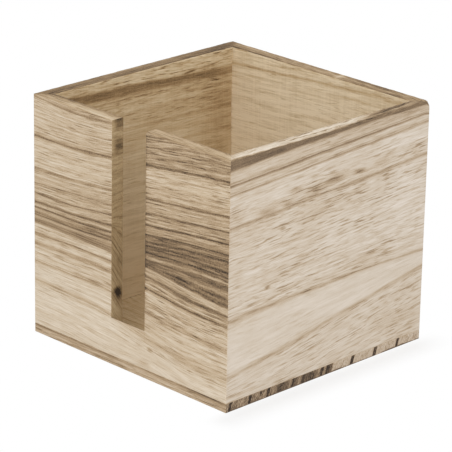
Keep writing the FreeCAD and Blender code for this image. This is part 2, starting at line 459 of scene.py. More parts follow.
def stainAndShadeAt(marks, u, v):
    total = np.zeros(len(u))
    for along, down, halfLength, halfHeight, strength, *slope in marks:
        run, drop = u - along, v - down - sum(slope) * (u - along)
        total += strength / 100 * np.exp(-(run / halfLength) ** 2 - (drop / halfHeight) ** 2)
    return total


def waves(places, length, seed, count=5):
    # a smooth seeded unevenness between -1 and 1
    spin = np.random.default_rng(seed)
    total = np.zeros(len(places))
    for _ in range(count):
        total += np.sin(places / length * spin.uniform(0.5, 2.2) * 2 * np.pi + spin.uniform(0, 6.3))
    return total / count


def roundOff(distance, radius):
    # how far a point of a face slides back from the edge, and how far it sinks, on a rounded edge
    angle = np.pi / 4 * np.clip(1 - distance / radius, 0, 1)
    return radius * (1 - np.sin(angle)), radius * (1 - np.cos(angle))


def meshFrom(name, points, quads, skins, grain, spots, stainAndShade, materials):
    mesh = bpy.data.meshes.new(name)
    mesh.from_pydata((points * mm).astype(np.float32), [], quads)
    mesh.polygons.foreach_set("material_index", skins.astype(np.int32))
    for material in materials:
        mesh.materials.append(material)
    for label, values in (("grain", grain), ("place", spots)):
        layer = mesh.attributes.new(label, "FLOAT_VECTOR", "CORNER")
        layer.data.foreach_set("vector", values.astype(np.float32).ravel())
    mesh.attributes.new("stainAndShade", "FLOAT", "CORNER").data.foreach_set("value", stainAndShade.astype(np.float32))
    mesh.polygons.foreach_set("use_smooth", np.ones(len(quads), bool))
    mesh.set_sharp_from_angle(angle=math.radians(38))
    mesh.validate()
    return addObject(name, mesh)


wallForm = {  # what the four walls share, in mm
    "arrisRound": 0.35, "mitreZone": 14,  # length that takes up the mitre's slant
    "rimWaves": (23, 0.35), "nibbleWaves": 7, "rimRounds": (0.25, 2.2),  # wear of the rim's edges
    "reliefWaves": 60, "reliefLeast": 0.55, "innerRelief": 0.4, "calmEdge": 3,
    "rimUneven": 0.05, "rimRipple": (9, 2), "mitreGroove": (0.14, 0.4), "dubbedFade": 10,
}
skinNames = ("outer", "inner", "rim", "cheek", "joint")


def footOfSlot(board, w):
    # v of the slot's foot at depth w, on the arc of the round cutter
    start = np.array([0, board["sillOutside"]])
    end = np.array([wallThick, board["sillInside"]])
    chord = end - start
    half = np.hypot(*chord) / 2
    normal = np.array([-chord[1], chord[0]]) / (2 * half)
    radius = board["cutterRadius"]
    centre = (start + end) / 2 + normal * math.sqrt(radius ** 2 - half ** 2)
    return boxHeight - (centre[1] - np.sqrt(radius ** 2 - (w - centre[0]) ** 2))


def makeWall(name, board):
    form, seed, slot = wallForm, board["seed"], board.get("slot", ())
    sill = boxHeight - board["sillOutside"] if slot else 0
    stepU, stepV = board["steps"]
    us = stations([0, *slot, side], stepU)
    vs = stations([0, sill, boardHeight] if slot else [0, boardHeight], stepV)
    ws = stations([0, wallThick], 0.8)
    solid = np.ones((len(us) - 1, len(vs) - 1, len(ws) - 1), bool)
    if slot:
        gap = (us[:-1] >= slot[0] - 0.01) & (us[:-1] < slot[1] - 0.01)
        solid[np.ix_(gap, vs[:-1] < sill - 0.01)] = False
    (i, j, k), quads, axis, way = blockFaces(solid)
    u, v, w = us[i], vs[j], ws[k]
    onOuter, onInner, onRim = k == 0, k == len(ws) - 1, j == 0
    onFace = onOuter | onInner

    skins = np.select([(axis == 2) & (way < 0), axis == 2, (axis == 1) & (way > 0)], [0, 1, 4], 3)
    atU, atV = i[quads[:, 0]], j[quads[:, 0]]
    skins[(axis == 1) & (way < 0) & (atV == 0)] = 2
    skins[(axis == 0) & ((atU == 0) | (atU == len(us) - 1))] = 4

    if slot:  # rows slide down with depth, to the foot that falls inwards
        drop = footOfSlot(board, w) - sill
        v = v + drop * np.where(v < sill, v / sill, (boardHeight - v) / (boardHeight - sill))
    fromEnd = np.minimum(u, side - u)
    u = u + np.where(u < side / 2, 1, -1) * w * np.clip(1 - fromEnd / form["mitreZone"], 0, 1)
    ideal = np.stack([u, v, w], 1)

    def inset(depth):
        # w of a point at this depth below the nearer face
        return np.where(w < wallThick / 2, depth, wallThick - depth)

    # rounded and worn edges
    length, share = form["rimWaves"]
    ease = board["rimRound"] * (1 + share * waves(u, length, seed))
    ease = ease * (1 + board["wearShare"] * waves(u, form["nibbleWaves"], seed + 1))
    if "wornInner" in board:
        start, end, extra = board["wornInner"]
        ease = ease + (w > wallThick / 2) * extra * np.clip((end - u) / (end - start), 0, 1) ** 2
    ease = np.clip(ease, *form["rimRounds"])
    away = np.minimum(w, wallThick - w)
    slide, sink = roundOff(v, ease)
    byRim = onFace & (v < ease)
    newV, newW = np.where(byRim, slide, v), np.where(byRim, inset(sink), w)
    slide, sink = roundOff(away, ease)
    byFace = onRim & (away < ease)
    newV, newW = np.where(byFace, sink, newV), np.where(byFace, inset(slide), newW)

    ease = form["arrisRound"]
    slide, sink = roundOff(boardHeight - v, ease)
    byFoot = onFace & (boardHeight - v < ease)
    newV, newW = np.where(byFoot, boardHeight - slide, newV), np.where(byFoot, inset(sink), newW)
    slide, sink = roundOff(fromEnd, ease)
    byEnd = onOuter & (fromEnd < ease)
    newU = np.where(byEnd, np.where(u < side / 2, slide, side - slide), u)
    newW = np.where(byEnd, np.maximum(newW, sink), newW)

    for edge, out in zip(slot, (-1, 1)):  # the slot's outer and inner edges and its mouth
        beside, byMouth = np.abs(us[i] - edge), vs[j] <= sill
        ease = board["slotRound"]
        slide, sink = roundOff(beside, ease)
        nearFace = onFace & byMouth & ((us[i] - edge) * out >= 0) & (beside < ease)
        newU = np.where(nearFace, edge + out * slide, newU)
        newW = np.where(nearFace, newW + np.where(onOuter, sink, -sink), newW)
        slide, sink = roundOff(away, ease)
        nearEdge = (beside == 0) & byMouth & (away < ease) & ~onFace
        newU = np.where(nearEdge, edge + out * sink, newU)

    # the surface itself: torched latewood stands proud of the brushed softer wood
    outer, relief = board["outer"], board["relief"]
    proud = np.interp(ringPlace(outer, u, v), *zip(*toneStops(outer["tones"], outer["lines"])))
    uneven = 0.5 + 0.5 * waves(u + 3 * v, form["reliefWaves"], seed + 2)
    calm = np.clip(np.minimum(fromEnd, v) / form["calmEdge"], 0, 1)
    least = form["reliefLeast"]
    newW = newW + np.where(onOuter, relief * (1 - proud) * (least + (1 - least) * uneven) * calm, 0)
    newW = newW - np.where(onInner, form["innerRelief"] * relief * uneven * calm, 0)
    longWave, crossWave = form["rimRipple"]
    dents = form["rimUneven"] * (1 + waves(u, longWave, seed + 3)) * (1 + waves(w, crossWave, 5))
    deep, wide = form["mitreGroove"]
    newV = newV + np.where(onRim, dents + deep * np.clip(1 - (fromEnd - w) / wide, 0, 1), 0)

    for end, size, radius in board.get("dubbed", ()):
        fall = size * np.clip(1 - (np.abs(u - end) + w) / radius, 0, 1) ** 2
        newV = newV + fall * np.clip(1 - v / form["dubbedFade"], 0, 1)
        pull = 0.5 * size * np.clip(1 - (np.abs(u - end) + v) / radius, 0, 1) ** 2
        newU = newU + np.sign(side / 2 - end) * pull
        newW = newW + np.where(onOuter, pull, 0)
    for along, depth, halfLength, halfWidth, size in board.get("nicks", ()):
        bowl = np.exp(-((u - along) / halfLength) ** 2 - ((w - depth) / halfWidth) ** 2)
        newV = newV + np.where(onRim, size * bowl, 0)

    # board place to box place
    turn = math.radians(board["turn"])
    x, y = newU - side / 2, newW - side / 2
    points = np.stack([x * math.cos(turn) - y * math.sin(turn), x * math.sin(turn) + y * math.cos(turn),
                       boxHeight - newV], 1)

    grain = np.zeros((len(quads), 4, 3))
    stainAndShade = np.zeros((len(quads), 4))
    looks = [board.get(skin, hiddenSkins.get(skin, outer)) for skin in skinNames]
    for index, (skin, look) in enumerate(zip(skinNames, looks)):
        u, v, w = ideal[quads[skins == index].ravel()].T
        if look.get("flip"):
            u = side - wallThick - u
        run, down, deep = {"rim": (u, w, v), "cheek": (w, v, u)}.get(skin, (u, v, w))
        grain[skins == index] = np.stack([run, ringPlace(look, run, down), deep], 1).reshape(-1, 4, 3)
        stainAndShade[skins == index] = stainAndShadeAt(look.get("stainsAndShade", ()), run, down).reshape(-1, 4)
    piece = meshFrom(name, points, quads, skins, grain.reshape(-1, 3), ideal[quads.ravel()], stainAndShade.ravel(),
                     [woodMaterial(f"{name} {skin}", look) for skin, look in zip(skinNames, looks)])
    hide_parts(board["node"])
    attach(piece, "root")
    print(name, "made with", len(quads), "faces")


# The four walls. All darkness is in percent. "figure" gives each ring's number and then its height
# at every place of "figureAt". The other entries are
#   tones: {ring: darkness}, and brushing and combing are given in the same way or as one level
#   lines: (half width, strength, and the rings where such a line runs)
#   stains, some of them painted shade: (along, down, half length, half height, strength, and a slope if
#       there is one)
#   knots: (along, down, half length, half height, softness, lean, strength)

hiddenFigure = {
    "figureAt": (0, 45, 90, 129),
    "figure": [(-10, -11, -10, -9, -8), (20, 19, 20, 21, 22), (60, 58, 60, 61, 62),
               (128, 126, 128, 129, 130)],
}
hiddenSkins = {  # for the boards that have none of their own
    "inner": {
        **hiddenFigure, "seed": 6, "warmth": 0.5, "planer": (3, 1.3), "brushing": 30,
        "tones": {-15: 36, 20: 38, 70: 36, 135: 34},
        "lines": [(0.8, 10, 6, 17, 31, 44, 58, 69, 83, 96, 108, 121)],
    },
    "joint": {**hiddenFigure, "bump": 0.2, "tones": {-30: 40, 150: 40}},
}
hiddenWood = {"warmth": 0.15, "blotches": 0.06, "grit": 0.05, "figureAt": (0, 50, 100, 145)}
rimWood = {"figureAt": (0, 145), "figure": [(-2, -2, -2), (10, 10, 10)], "combing": 8, "tatter": 0.2}

frontBoard = {
    "node": "front_panel", "turn": 0, "seed": 3, "steps": (1.7, 0.6), "slot": (60, 85), "sillOutside": 26,
    "sillInside": 17, "cutterRadius": 100, "slotRound": 0.35, "rimRound": 0.75, "wearShare": 0.25,
    "relief": 0.14, "wornInner": (145, 125, 0.8),
    "outer": {
        "seed": 1, "warmth": 0.32, "patchiness": 0.5, "wobble": (0.4, 20), "ripple": 0.5, "grit": 0.06,
        "blotches": 0.06, "dashes": (13, 0.62, 0.5), "change": (50, 92),
        "figureAt": (0, 30, 53, 92, 115, 145),
        "brushing": {-30: 45, 58: 45, 61: 25, 72: 25, 74: 40, 94: 40, 98: 30, 114: 30, 135: 25},
        "combing": {-30: 10, 17: 10, 19: 8, 60: 10, 73: 14, 75: 10, 98: 9, 135: 5},
        "figure": [(-22, -20, -19.5, -20, -23, -26, -28), (0, 1, 3.1, 2.1, -2, -5, -8),
            (18, 23.2, 22.6, 21, 16.5, 14, 11), (35, 41.8, 40.6, 38.7, 34.5, 32.3, 29.2),
            (44, 49, 47.3, 46.2, 42.6, 40.3, 37.2), (50, 54.6, 54.4, 52, 49, 46.7, 43.8),
            (55, 59.6, 59, 57.5, 54, 51.5, 49.4), (58.5, 62.3, 62, 61, 57.5, 54.6, 52.4),
            (62, 65.8, 65.5, 64.5, 62, 60.2, 59.6), (66, 68, 68, 67.8, 66.5, 65.3, 64.5),
            (70, 69.8, 69.8, 69.8, 69.4, 69.6, 70.3), (73, 71.2, 71.1, 71.3, 72.5, 75.2, 77.3),
            (79, 77.5, 77, 76.8, 77.8, 80.9, 81.8), (84, 82.6, 82.5, 82.3, 84.5, 86.8, 87.5),
            (96, 92.5, 92.6, 92.4, 97.5, 99.5, 101), (110, 103.5, 104.4, 105.6, 112, 115, 115.4),
            (130, 124, 125, 127, 128, 133, 134)],
        "tones": {-30: 50, -3: 44, 1.2: 36, 2: 31, 17: 33, 19: 29, 33: 31, 44: 36, 49: 39, 53: 42, 56.6: 42,
            59.7: 44, 61: 58, 63: 59, 64.8: 46, 66.5: 52, 68.6: 62, 70.8: 64, 72.2: 50, 73.4: 22, 77: 24,
            80: 22, 88: 25, 95: 24, 98: 20, 110: 18, 135: 17},
        "lines": [(0.3, 8, 3, 7, 13, 22.5, 26, 30.4, 67.2), (0.3, 10, 8.8, 39.5, 65.2),
            (0.3, 12, 5, 11, 14.8), (0.35, 14, 60.7), (0.4, 10, 87, 91), (0.4, 16, 62.5), (0.5, 6, 70),
            (0.5, 24, 0.1), (0.5, 32, 58.1), (0.5, 36, 49.2), (0.5, 38, 43.8), (0.55, 42, 54.5),
            (0.6, 34, 34.3), (0.6, 36, 17.6), (0.9, 38, 78.2, 83.3), (1, 28, 95.5), (1.3, 26, 109.3)],
        "farEnd": {
            "brushing": {-30: 60, 20: 60, 48: 55, 52: 45, 72: 45, 75: 50, 88: 65, 95: 70, 98: 45, 104: 40,
                114: 40, 135: 22},
            "combing": {-30: 10, 17: 10, 19: 8, 47: 8, 52: 7, 72: 7, 75: 12, 98: 10, 120: 3, 135: 2},
            "tones": {-30: 55, 13: 48, 17: 50, 18.6: 48, 20: 38, 21.4: 29, 26: 32, 30: 38, 33: 39, 36.4: 47,
                37.4: 48, 38.6: 40, 42.2: 42, 44.6: 47, 48.4: 48, 51.2: 49, 53.6: 53, 54.7: 66, 56.4: 62,
                57.4: 66, 59.2: 66, 60.1: 71, 62.1: 69, 64.4: 72, 65.2: 49, 65.8: 48, 66.6: 70, 68.4: 70,
                69.3: 60, 70: 58, 70.8: 70, 72.4: 70, 73.6: 36, 76: 40, 80: 42, 82: 36, 86: 32, 93: 31,
                97.5: 28, 104: 27, 108: 29, 114: 21, 118: 16, 135: 15},
            "lines": [(0.3, 6, 53), (0.3, 8, 2.8, 5.8, 23, 27, 31, 70.9, 72.3), (0.3, 9, 7),
                (0.3, 10, 39.5), (0.3, 11, 8.4), (0.35, 11, 11.8), (0.35, 13, 4.5), (0.35, 16, 63.1),
                (0.35, 18, 61.2), (0.35, 20, 60.1), (0.4, 8, 10.2), (0.4, 10, 13.9), (0.45, 26, 58.2),
                (0.45, 40, 49.3), (0.5, 8, 67.6), (0.5, 12, 90), (0.5, 32, 54.6), (0.5, 40, 43.5),
                (0.55, 38, 34.7), (0.6, 8, 1), (0.7, 42, 83.2), (0.75, 32, 17.7), (0.8, 40, 78.4),
                (0.9, 30, 95.2), (1.6, 16, 109)],
        },
        "knots": [(89, 116, 1.8, 1.1, 0.7, 0, 22), (118.5, 118.5, 2.2, 0.4, 0.5, 0, 30)],
        "stainsAndShade": [(37, 113, 4, 1.2, 12), (85, 125, 6, 2.4, 14, -0.1), (80, 116, 2, 1, 16),
            (3, 12, 14, 9, -8), (3, 33, 14, 6, -6), (36, 68.5, 7, 1.3, 8), (88, 103.5, 8, 1.2, 18, 0.05),
            (89, 93, 6, 0.9, 14), (135, 56.3, 18, 0.8, -20, -0.05), (47, 66.5, 15, 4.4, 12),
            (46, 59.5, 10, 3, 7), (108, 112.6, 8, 1.2, 18, 0.38), (132, 6, 13, 9, 7), (90, 116, 3, 1.4, 10),
            (88, 69.4, 10, 2.2, 14), (111, 67.5, 5, 0.8, -16, 0.1), (107, 104, 5, 1.2, -14),
            (137, 46, 7, 0.8, 14, -0.1), (137, 42.2, 6, 0.8, -12, -0.1), (132, 70.4, 12, 0.9, -10),
            (131, 116.4, 12, 1.4, 12), (28, 105, 26, 0.9, 8, 0.06), (135, 77.5, 12, 1.2, -12),
            (85.2, 20, 0.5, 26, 36), (85.2, 72, 0.5, 24, 36)],
    },
    "rim": {
        **rimWood, "seed": 9, "warmth": 0.8, "wobble": (2.4, 18), "change": (60, 86), "brushing": 45,
        "tones": {-1: 36, 2: 30, 3: 42, 4: 34, 5: 46, 6.4: 60, 9: 70},
        "farEnd": {"tones": {-1: 54, 1.5: 50, 3: 44, 5: 36, 6.4: 40, 7.2: 50, 9: 60}},
        "stainsAndShade": [(0, 4, 14, 8, 22), (130, 7.6, 9, 1.6, 24), (24, 8, 7, 1.6, 16),
            (42, 3, 12, 1.4, -14, 0.06), (50, 1, 8, 1.2, -12), (142, 6, 3, 5, -20)],
    },
    "cheek": {
        "seed": 4, "warmth": 0.9, "olive": 0.5, "wobble": (1.2, 6), "dashes": (5, 0.8, 0.5), "tatter": 0,
        "knotsAlong": "Z", "figureAt": (0, 4, 8), "brushing": {-12: 16, 50: 16, 60: 30, 130: 30},
        "figure": [(-4, -4, -4, -4), (30, 30, 30, 29.6), (48, 48.4, 47.8, 46.8), (56, 55, 56, 57),
            (64, 59, 64, 70.5), (78, 71.5, 78, 84.5), (92, 85.5, 92, 98.5), (107, 100, 107, 113)],
        "tones": {-12: 49, 20: 51, 35: 54, 60: 56, 85: 54, 104: 46, 130: 44},
        "lines": [(0.5, 8, 19, 24, 29, 35, 40, 44, 48), (0.5, 14, 53, 60, 67, 70.5, 74, 82, 86, 99)],
        "knots": [(4.4, 93.2, 2.3, 2, 0.8, -0.1, 36)],
        "stainsAndShade": [(5, 0, 4.4, 1.1, 36), (4.2, 3, 2, 2.8, 28), (7.2, 3, 2, 2.8, 24), (3.8, 15, 2, 2.4, 34),
            (6.8, 15, 2.2, 2.4, 28), (5.4, 11.2, 3.6, 1.4, 22), (5, 19, 3.5, 0.8, 12),
            (4.8, 78, 1.8, 3, 12, 0.6), (5.8, 99, 1.6, 3, 16, 0.4), (5.2, 95.8, 2.6, 2, 42),
            (4, 92.8, 2.2, 2, 20)],
    },
}

rightBoard = {
    "node": "right_panel", "turn": 90, "seed": 17, "steps": (1.7, 0.6), "rimRound": 0.8, "wearShare": 0.55,
    "relief": 0.12, "wornInner": (0, -20, 0.8), "dubbed": [(145, 2, 2.4)],
    "outer": {
        "seed": 2, "warmth": -0.25, "patchiness": 0.7, "ripple": 0.6, "grit": 0.035, "blotches": 0.05,
        "dashes": (11, 0.9, 0.54), "texture": (0.36, 0.12, 0.08), "tatter": 0.1, "bump": 0.3,
        "figureAt": (0, 35, 70, 105, 145),
        "brushing": {-15: 30, 2.2: 30, 3.5: 50, 20: 40, 26: 70, 60: 60, 82: 60, 84: 20, 101: 20, 105: 55,
            140: 55},
        "combing": {-15: 3, 2: 3, 4: 5, 82: 5, 84: 2, 101: 2, 140: 5},
        "figure": [(-12, -10, -12, -13, -13.5, -14), (2.5, 5.5, 3.6, 2.3, 1.5, 1.2),
            (9.7, 13.2, 11.6, 9.6, 7.8, 6), (14.6, 18.2, 16.5, 14.6, 12.8, 10.5),
            (23, 27, 24.3, 22.5, 20.8, 19), (32, 35, 33.6, 31.8, 30.5, 28),
            (62, 66, 64.6, 62.4, 60.4, 58.5), (82, 83.5, 82.2, 81.5, 80.8, 82),
            (103, 114, 109.3, 103, 97, 90), (121, 128, 125, 121, 116, 112), (137, 140, 138, 136, 133, 131)],
        "tones": {-15: 77, 2.2: 77, 3.1: 38, 4.2: 32, 9: 31, 11: 27, 14: 28, 16: 20, 22: 19, 24: 23, 31: 24,
            34: 22, 40: 25, 46: 20, 60: 18, 80: 20, 84: 20, 88: 18, 101: 17, 106: 21, 118: 20, 140: 24},
        "lines": [(0.3, 6, 6, 12, 19), (0.4, 6, 43, 57), (0.4, 8, 37, 50, 66, 74), (0.5, 10, 78),
            (0.8, 30, 32.3), (0.9, 34, 14.5), (0.9, 44, 9.7), (1.1, 22, 82.4), (1.2, 22, 103.6)],
        "knots": [(27.5, 72.5, 1.7, 0.8, 0.7, 0, 34)],
        "stainsAndShade": [(130, 6.6, 24, 1.2, -12, -0.04), (8, 125.3, 9, 0.8, 20, -0.03),
            (26, 32.3, 5, 1.5, 24, -0.02), (41, 31.6, 4, 1.5, 24, 0.05), (46, 25.6, 4.5, 1.3, 18, 0.1),
            (61, 28, 5, 1.7, 30, 0.06), (60, 31.3, 4, 1.2, 20), (75, 26.4, 6, 1.8, 32, 0.03),
            (92.5, 26.4, 3.5, 1.3, 32, 0.08), (20, 36.5, 14, 1.6, 8, -0.02), (4, 30, 6, 2.4, 12),
            (0.2, 66, 0.5, 60, 10), (100, 27, 14, 1, 10), (128, 3.6, 16, 1.6, 10, -0.05),
            (110, 25, 7, 1.6, 14, -0.05), (136, 25, 6, 2.5, 14, -0.05), (46, 25, 6, 1.2, 15, -0.05),
            (34, 29, 5, 1, 12, -0.1), (6, 65.5, 3, 2.2, 12), (132, 42, 24, 26, -8), (126, 17, 18, 5, -5),
            (90, 56, 20, 10, -3), (53, 62, 5, 1, 16, -0.08), (49, 66.5, 5, 0.8, 15, -0.1),
            (102, 74, 9, 0.8, 16, -0.03), (105, 77, 16, 0.8, 12, 0.02), (84, 81, 8, 0.9, 20),
            (18, 83, 10, 1, 12), (32, 83, 3, 0.7, 15, -0.1), (55, 82, 8, 0.6, 12),
            (30, 79.5, 7, 0.5, 18, -0.2), (45, 76.5, 10, 0.5, 12, -0.07), (39, 81, 5, 0.5, 18, -0.22),
            (58, 79, 12, 0.5, 12, -0.06), (30, 110, 9, 0.7, 12, -0.09), (85, 100.5, 10, 0.6, 12, -0.04),
            (112, 96, 6, 0.6, 10, -0.2), (125, 116, 16, 5, 10, -0.05), (88, 37.3, 6, 0.6, 16),
            (65, 41, 6, 0.6, 16, -0.1), (50, 52.5, 9, 0.6, 14, -0.03), (30, 65, 14, 0.6, 10, -0.05),
            (80, 62, 20, 0.5, 10, -0.06)],
    },
    "rim": {
        "seed": 12, "warmth": 0.3, "wobble": (3.4, 9), "change": (92, 110), "brushing": 70, "combing": 10,
        "figureAt": (0, 95, 125, 145),
        "figure": [(-2, -2, -2, -2, -2), (3, 2.5, 2.3, 4.9, 7.4), (10, 10, 10, 10, 10)],
        "tones": {-1: 72, 0.6: 66, 1.4: 34, 2.4: 12, 5: 10, 7.4: 17, 9: 38},
        "farEnd": {"tones": {-1: 80, 0.8: 60, 1.8: 48, 2.7: 74, 4.4: 72, 5.6: 48, 7: 52, 9: 60}},
        "stainsAndShade": [(10, 7.8, 3, 1.2, 30), (34, 7.8, 16, 1, 16), (4, 4, 4, 6, 20), (92, 0.7, 24, 1.5, 34),
            (118, 4.4, 9, 1.8, 10, 0.12)],
    },
}

backBoard = {
    "node": "back_panel", "turn": 180, "seed": 29, "steps": (2, 0.8), "rimRound": 0.7, "wearShare": 0.4,
    "relief": 0.12, "dubbed": [(0, 2, 2.4)], "nicks": [(60, 4, 4, 2, 0.15)],
    "outer": {
        **hiddenWood, "seed": 21,
        "figure": [(-20, -19, -20, -22, -20), (12, 14, 12, 10, 11), (34, 36, 33, 31, 34),
            (56, 57, 54, 53, 58), (78, 80, 75, 76, 82), (99, 104, 98, 96, 100), (122, 124, 122, 119, 121),
            (145, 147, 146, 144, 143)],
        "tones": {-25: 32, 10: 30, 36: 26, 50: 30, 54: 42, 60: 40, 62: 24, 76: 22, 100: 20, 145: 22},
        "lines": [(0.5, 24, 43), (0.5, 26, 50), (0.5, 30, 60), (0.6, 20, 23), (0.6, 28, 12),
            (0.6, 30, 34, 56), (0.7, 24, 4), (0.9, 22, 78), (1, 20, 99), (1.2, 18, 122)],
        "knots": [(104, 67, 2.2, 1.2, 0.7, 0, 30)],
        "stainsAndShade": [(34, 44, 8, 1.6, 16, -0.05), (92, 28, 7, 1.4, 18, -0.04), (62, 88, 12, 1.2, 12, 0.02)],
    },
    "inner": {
        "flip": True, "seed": 33, "warmth": 1.3, "patchiness": 0.8, "wobble": (1.2, 24), "ripple": 0.3,
        "blotches": 0.09, "dashes": (9, 0.9, 0.42), "texture": (0.26, 0.12, 0.14), "planer": (4, 1.1),
        "combing": 10, "figureAt": (0, 30, 60, 90, 129), "brushing": {-40: 60, 8: 60, 12: 36, 160: 30},
        "figure": [(-12, -10, -12, -13, -14, -15), (8, 9.2, 7.8, 5.5, 4, 2.8), (29, 29, 27.8, 26, 25, 24),
            (48, 48, 46.3, 45, 44, 43), (130, 130, 129, 128, 127, 126)],
        "tones": {-15: 5, 10: 4, 20: 0, 29: -2, 42: -2, 50: 2, 135: 2},
        "lines": [(0.4, 10, 5.4), (0.5, 10, 3.6), (0.5, 12, 1.6), (0.8, 6, 16), (0.9, 8, 24, 35, 41),
            (0.9, 10, 13, 63, 94), (0.9, 12, 19.5), (1, 8, 79), (1, 10, 111), (1, 32, 8),
            (1.3, 14, 29, 48)],
        # the first stain is a painted shadow under the rim at the top of the corner, the third is painted
        # shade down the inside corner
        "stainsAndShade": [(8, 0, 14, 1.2, 40), (75, 0, 60, 0.6, 16), (0, 78, 0.7, 60, 36), (52, 30, 8, 2.4, 8),
            (20, 15, 6, 1, 8)],
    },
    "rim": {
        **rimWood, "seed": 15, "warmth": 0.7, "wobble": (2.4, 22), "brushing": 60,
        "tones": {-1: 52, 2.5: 52, 4.5: 48, 6.2: 56, 7.4: 60, 9: 64},
        "stainsAndShade": [(60.5, 4, 2, 5, -36), (134, 8, 4, 2.4, 34), (143, 4, 5, 8, 22), (38, 4, 20, 8, 13),
            (18, 7.6, 9, 1.4, 8), (118, 7.6, 12, 1.6, 16)],
    },
}

leftBoard = {
    "node": "left_panel", "turn": 270, "seed": 43, "steps": (2, 0.8), "rimRound": 0.6, "wearShare": 0.3,
    "relief": 0.12,
    "outer": {
        **hiddenWood, "seed": 26,
        "figure": [(-20, -18, -20, -21, -22), (10, 9, 12, 11, 8), (31, 29, 33, 33, 29),
            (50, 47, 52, 53, 49), (70, 66, 71, 74, 70), (92, 88, 92, 97, 95), (118, 116, 118, 121, 122),
            (145, 142, 146, 148, 147)],
        "tones": {-25: 66, 3: 64, 4: 34, 30: 30, 64: 27, 90: 22, 145: 20},
        "lines": [(0.5, 22, 41, 58), (0.6, 20, 18), (0.6, 26, 50), (0.6, 30, 10), (0.7, 28, 31),
            (0.9, 24, 70), (1, 20, 92), (1.2, 18, 118)],
        "knots": [(48, 83, 2, 1.2, 0.7, 0, 30)],
        "stainsAndShade": [(90, 24, 8, 1.4, 16, 0.02), (30, 60, 9, 1.2, 16, 0.04), (112, 80, 10, 1.2, 12, 0.02)],
    },
    "inner": {
        "flip": True, "seed": 37, "warmth": 1.35, "patchiness": 0.9, "ripple": 0.5, "blotches": 0.06,
        "dashes": (10, 1, 0.42), "texture": (0.34, 0.16, 0.12), "tatter": 0.2, "planer": (2, 1.2),
        "combing": {-15: 8, 130: 6}, "figureAt": (0, 30, 60, 90, 129),
        "brushing": {-15: 110, 5: 100, 7: 40, 10: 40, 12: 80, 20: 60, 30: 40, 40: 25, 130: 25},
        "figure": [(-10, -12, -10, -9, -7, -6), (8, 5.8, 8, 8.6, 10.8, 12),
            (23, 22.4, 23, 23.6, 24.2, 25.3), (60, 58, 60, 61, 62, 64), (130, 128, 130, 131, 132, 134)],
        "tones": {-15: 20, 5: 22, 6.4: 60, 7.4: 70, 9.6: 68, 12.2: 30, 20: 22, 21.6: 34, 24.6: 34, 26.4: 28,
            45: 22, 60: 15, 80: 5, 135: 0},
        "lines": [(0.6, 10, 16.5), (0.6, 14, 13.2), (0.7, 8, 36, 43, 53, 63, 73, 84, 94, 105, 116),
            (0.8, 14, 30)],
        # the fifth and the last stains are painted shade, darker towards the inside corner
        "stainsAndShade": [(97, 7.5, 5, 0.7, 30), (110, 7, 5, 0.7, 16), (42, 3.5, 8, 0.6, 18), (46, 13, 8, 2.4, 12),
            (122, 46, 14, 28, 18), (126, 11, 10, 3.2, -26, 0.05), (116, 30, 14, 40, 6)],
    },
    "rim": {
        **rimWood, "seed": 18, "warmth": 0.7, "wobble": (1.2, 18), "brushing": 40,
        "tones": {-1: 65, 3.5: 67, 5.2: 72, 6.6: 75, 9: 73},
        "stainsAndShade": [(18, 4, 18, 9, 10), (133, 4, 9, 9, 8), (75, 1, 30, 2, -6)],
    },
}

for pieceName, wallBoard in (("front_wall", frontBoard), ("right_wall", rightBoard),
                             ("back_wall", backBoard), ("left_wall", leftBoard)):
    makeWall(pieceName, wallBoard)


# the base board, cut with its fibres running from left to right

endMarks = [  # dark rings on the sawn end, from and to
    (1.2, 2.8), (15.2, 17.3), (28.4, 30.4), (36.8, 38.7), (46.6, 48.3), (54, 56), (67.5, 69.5),
    (71.8, 74), (90.4, 92.8), (107.8, 110.4), (125.5, 127.5)]
baseBoard = {
    "step": 1.6, "edgeRound": 0.3, "relief": 0.1, "reliefWaves": 17, "headWidth": 2.3, "headDepth": 1.2,
    "bradSpacing": 90, "markLean": 0.3,
    "flatLook": {
        "seed": 51, "warmth": 1.3, "planer": (3, 1.4), "brushing": 40,
        "lines": [(0.9, 12, *((start + end) / 2 for start, end in endMarks))],
        "tones": {-5: 24, 76: 24, 80: 18, 150: 18},
    },
    "longLook": {
        "seed": 54, "warmth": 0.15, "wobble": (1.2, 26), "dashes": (18, 0.8, 0.5), "brushing": 50,
        # the darker top of this edge is painted shade in the joint under the walls
        "tones": {-2: 70, 0.5: 62, 1.2: 46, 2.6: 38, 3.6: 42, 5: 42, 8: 42},
    },
    "longStains": [(132, 1, 22, 1.6, 14), (48, 3.6, 12, 0.6, 20), (30, 0.8, 26, 0.8, 8),
        (75, 1.2, 12, 1.2, -8)],
    "endLook": {
        "seed": 57, "warmth": -0.5, "patchiness": 0.9, "wobble": (0.3, 2.5), "dashes": (2.6, 0.9, 0.5),
        # darker along the bottom edge of the sawn end
        "pores": (15, 0.35), "edgeStrips": [("Z", 5, -1, 0.8, 9, 86)],
        "tones": barTones({
            -8: 62, 30: 62, 31: 72, 33: 62, 38: 86, 41: 84, 44: 76, 45: 58, 48: 84, 50.8: 76, 51.8: 56,
            55: 90, 58: 85, 60: 92, 62: 86, 64.5: 76, 66: 62, 70.6: 62, 74: 86, 76: 80, 76.8: 36, 155: 34,
        }, endMarks, 97, 0.4),
        "brushing": {-8: 80, 30: 80, 36: 40, 155: 40},
    },
}


